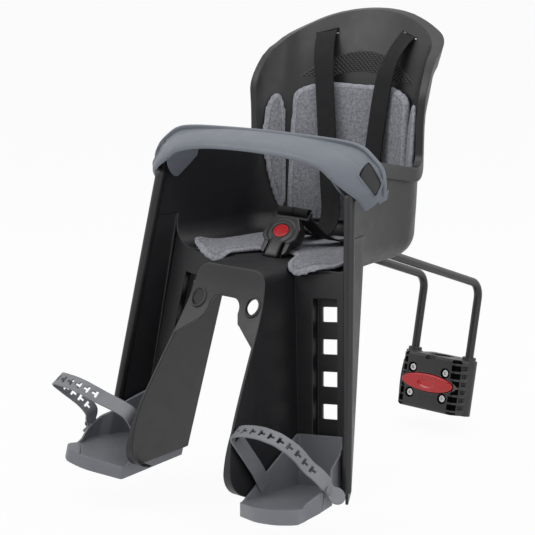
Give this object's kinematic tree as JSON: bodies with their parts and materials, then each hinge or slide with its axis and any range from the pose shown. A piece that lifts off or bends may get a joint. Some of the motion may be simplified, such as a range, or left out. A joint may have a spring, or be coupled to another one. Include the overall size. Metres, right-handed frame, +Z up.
{
  "type": "child bicycle seat",
  "caption": "Front-mounted child seat for a bicycle: a moulded bucket with leg channels, grab bar, harness and sliding footrests, carried by a bent rod in a tube clamp.",
  "frame": {"origin": "on the seat tube's axis, at the middle of the clamp block", "axes": "+Z up, +X to the seated child's left, -Y the way the child faces"},
  "size_m": [0.4048, 0.6433, 0.5983],
  "materials": {
    "shell_black": "fine moulded texture, satin",
    "pad_felt": "heathered felt",
    "bar_grey": "satin",
    "webbing": "woven",
    "hardware_black": "satin",
    "button_red": "gloss",
    "footrest_grey": "satin",
    "strap_grey": "matt",
    "rod_black": "satin powder coat",
    "block_black": "satin",
    "liner_rubber": "matt",
    "steel": "bright"
  },
  "bodies": {
    "block": {"block_front": "block_black", "block_rear": "block_black", "clamp_liner_front": "liner_rubber", "clamp_liner_rear": "liner_rubber", "clamp_bolts": "steel", "clamp_nuts": "steel"},
    "release_button": {"release_button": "button_red"},
    "seat": {"seat_shell": "shell_black", "seat_pad": "pad_felt", "back_pad": "pad_felt", "side_pad_left": "pad_felt", "side_pad_right": "pad_felt", "grab_bar": "bar_grey", "shoulder_strap_left": "webbing", "shoulder_strap_right": "webbing", "crotch_strap": "webbing", "strap_slides": "hardware_black", "buckle_housing": "hardware_black", "buckle_tongue": "hardware_black", "carrier_rod": "rod_black", "rod_plate": "rod_black", "plate_screws": "steel"},
    "buckle_button": {"buckle_button": "button_red"},
    "footrest_left": {"footrest_left": "footrest_grey", "foot_strap_left": "strap_grey", "strap_stud_left": "footrest_grey"},
    "footrest_right": {"footrest_right": "footrest_grey", "foot_strap_right": "strap_grey", "strap_stud_right": "footrest_grey"}
  },
  "joints": [
    {"name": "seat_lift", "type": "slide", "parent": "block", "child": "seat", "axis": [0, 0.2079, 0.9781], "range_m": [0, 0.06]},
    {"name": "release_press", "type": "slide", "parent": "block", "child": "release_button", "axis": [0, 0.9781, -0.2079], "range_m": [0, 0.003], "stiffness_N_per_m": 900},
    {"name": "buckle_press", "type": "slide", "parent": "seat", "child": "buckle_button", "axis": [0, 0.788, -0.6157], "range_m": [0, 0.0025], "stiffness_N_per_m": 900},
    {"name": "footrest_left_slide", "type": "slide", "parent": "seat", "child": "footrest_left", "axis": [-0.1357, 0.1601, 0.9777], "range_m": [0, 0.1185]},
    {"name": "footrest_right_slide", "type": "slide", "parent": "seat", "child": "footrest_right", "axis": [0.1357, 0.1601, 0.9777], "range_m": [0, 0.1185]}
  ]
}
